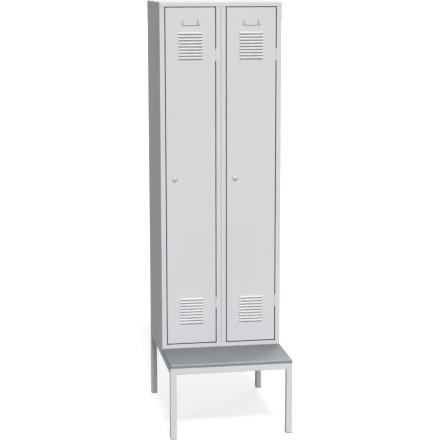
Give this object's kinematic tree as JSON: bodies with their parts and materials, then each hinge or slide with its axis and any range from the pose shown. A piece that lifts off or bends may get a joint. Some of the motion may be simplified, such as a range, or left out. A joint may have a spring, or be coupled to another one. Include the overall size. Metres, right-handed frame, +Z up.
{
  "type": "clothes locker with bench",
  "caption": "Tall sheet-steel clothes locker with side-by-side louvred doors, on a square-tube frame with a bench seat in front.",
  "frame": {"origin": "on the floor, in the middle of the whole object's width and depth", "axes": "+Z up, the doors and the bench face -Y, +X to the right when facing the doors"},
  "size_m": [0.6, 0.808, 2.088],
  "materials": {
    "light_paint": "fine-textured light grey powder coat",
    "seat_laminate": "matt mid-grey laminate on a wood-based board",
    "zinc": "bright zinc plating",
    "grey_plastic": "matt grey moulded plastic"
  },
  "bodies": {
    "root": {"back_panel": "light_paint", "bench_leg_back_left": "light_paint", "bench_leg_back_right": "light_paint", "bench_leg_front_left": "light_paint", "bench_leg_front_right": "light_paint", "bench_rail_back": "light_paint", "bench_rail_cross": "light_paint", "bench_rail_front": "light_paint", "bench_rail_left": "light_paint", "bench_rail_right": "light_paint", "floor_panel": "light_paint", "foot_back_left": "grey_plastic", "foot_back_right": "grey_plastic", "foot_front_left": "grey_plastic", "foot_front_right": "grey_plastic", "left_coat_rail": "zinc", "left_lower_hinge_frame_leaf": "zinc", "left_lower_hinge_pin": "zinc", "left_partition": "light_paint", "left_shelf": "light_paint", "left_side_panel": "light_paint", "left_upper_hinge_frame_leaf": "zinc", "left_upper_hinge_pin": "zinc", "right_coat_rail": "zinc", "right_lower_hinge_frame_leaf": "zinc", "right_lower_hinge_pin": "zinc", "right_partition": "light_paint", "right_shelf": "light_paint", "right_side_panel": "light_paint", "right_upper_hinge_frame_leaf": "zinc", "right_upper_hinge_pin": "zinc", "seat_board": "seat_laminate", "seat_screw_cross_left": "zinc", "seat_screw_cross_right": "zinc", "seat_screw_front_left": "zinc", "seat_screw_front_right": "zinc", "sill": "light_paint", "top_panel": "light_paint"},
    "left_door": {"left_door_panel": "light_paint", "left_door_stiffener": "light_paint", "left_upper_hinge_door_leaf": "zinc", "left_lower_hinge_door_leaf": "zinc", "left_lock_housing": "zinc", "left_lock_nut": "zinc"},
    "left_lock": {"left_lock_plug": "zinc", "left_lock_cam": "zinc"},
    "left_rod_up": {"left_upper_rod": "zinc"},
    "left_rod_down": {"left_lower_rod": "zinc"},
    "left_hook": {"left_coat_hook": "grey_plastic"},
    "right_door": {"right_door_panel": "light_paint", "right_door_stiffener": "light_paint", "right_upper_hinge_door_leaf": "zinc", "right_lower_hinge_door_leaf": "zinc", "right_lock_housing": "zinc", "right_lock_nut": "zinc"},
    "right_lock": {"right_lock_plug": "zinc", "right_lock_cam": "zinc"},
    "right_rod_up": {"right_upper_rod": "zinc"},
    "right_rod_down": {"right_lower_rod": "zinc"},
    "right_hook": {"right_coat_hook": "grey_plastic"}
  },
  "joints": [
    {"name": "left_door_hinge", "type": "hinge", "parent": "root", "child": "left_door", "pos_m": [-0.026, -0.0975, 1.2295], "axis": [0, 0, 1], "range_deg": [0, 110]},
    {"name": "left_lock_turn", "type": "hinge", "parent": "left_door", "child": "left_lock", "pos_m": [-0.23, -0.096, 1.2295], "axis": [0, -1, 0], "range_deg": [0, 90]},
    {"name": "left_rod_up_slide", "type": "slide", "parent": "left_door", "child": "left_rod_up", "axis": [0, 0, 1], "range_m": [0, 0.01131]},
    {"name": "left_rod_down_slide", "type": "slide", "parent": "left_door", "child": "left_rod_down", "axis": [0, 0, -1], "range_m": [0, 0.01132]},
    {"name": "left_hook_slide", "type": "slide", "parent": "root", "child": "left_hook", "axis": [1, 0, 0], "range_m": [-0.135, 0.135]},
    {"name": "right_door_hinge", "type": "hinge", "parent": "root", "child": "right_door", "pos_m": [0.274, -0.0975, 1.2295], "axis": [0, 0, 1], "range_deg": [0, 110]},
    {"name": "right_lock_turn", "type": "hinge", "parent": "right_door", "child": "right_lock", "pos_m": [0.07, -0.096, 1.2295], "axis": [0, -1, 0], "range_deg": [0, 90]},
    {"name": "right_rod_up_slide", "type": "slide", "parent": "right_door", "child": "right_rod_up", "axis": [0, 0, 1], "range_m": [0, 0.01131]},
    {"name": "right_rod_down_slide", "type": "slide", "parent": "right_door", "child": "right_rod_down", "axis": [0, 0, -1], "range_m": [0, 0.01132]},
    {"name": "right_hook_slide", "type": "slide", "parent": "root", "child": "right_hook", "axis": [1, 0, 0], "range_m": [-0.135, 0.135]}
  ],
  "couplings": [
    {"joint": "left_lock_turn", "follows": "left_rod_up_slide", "rad_per_m": 138.84},
    {"joint": "left_rod_down_slide", "follows": "left_rod_up_slide", "ratio": 1},
    {"joint": "right_lock_turn", "follows": "right_rod_up_slide", "rad_per_m": 138.84},
    {"joint": "right_rod_down_slide", "follows": "right_rod_up_slide", "ratio": 1}
  ]
}
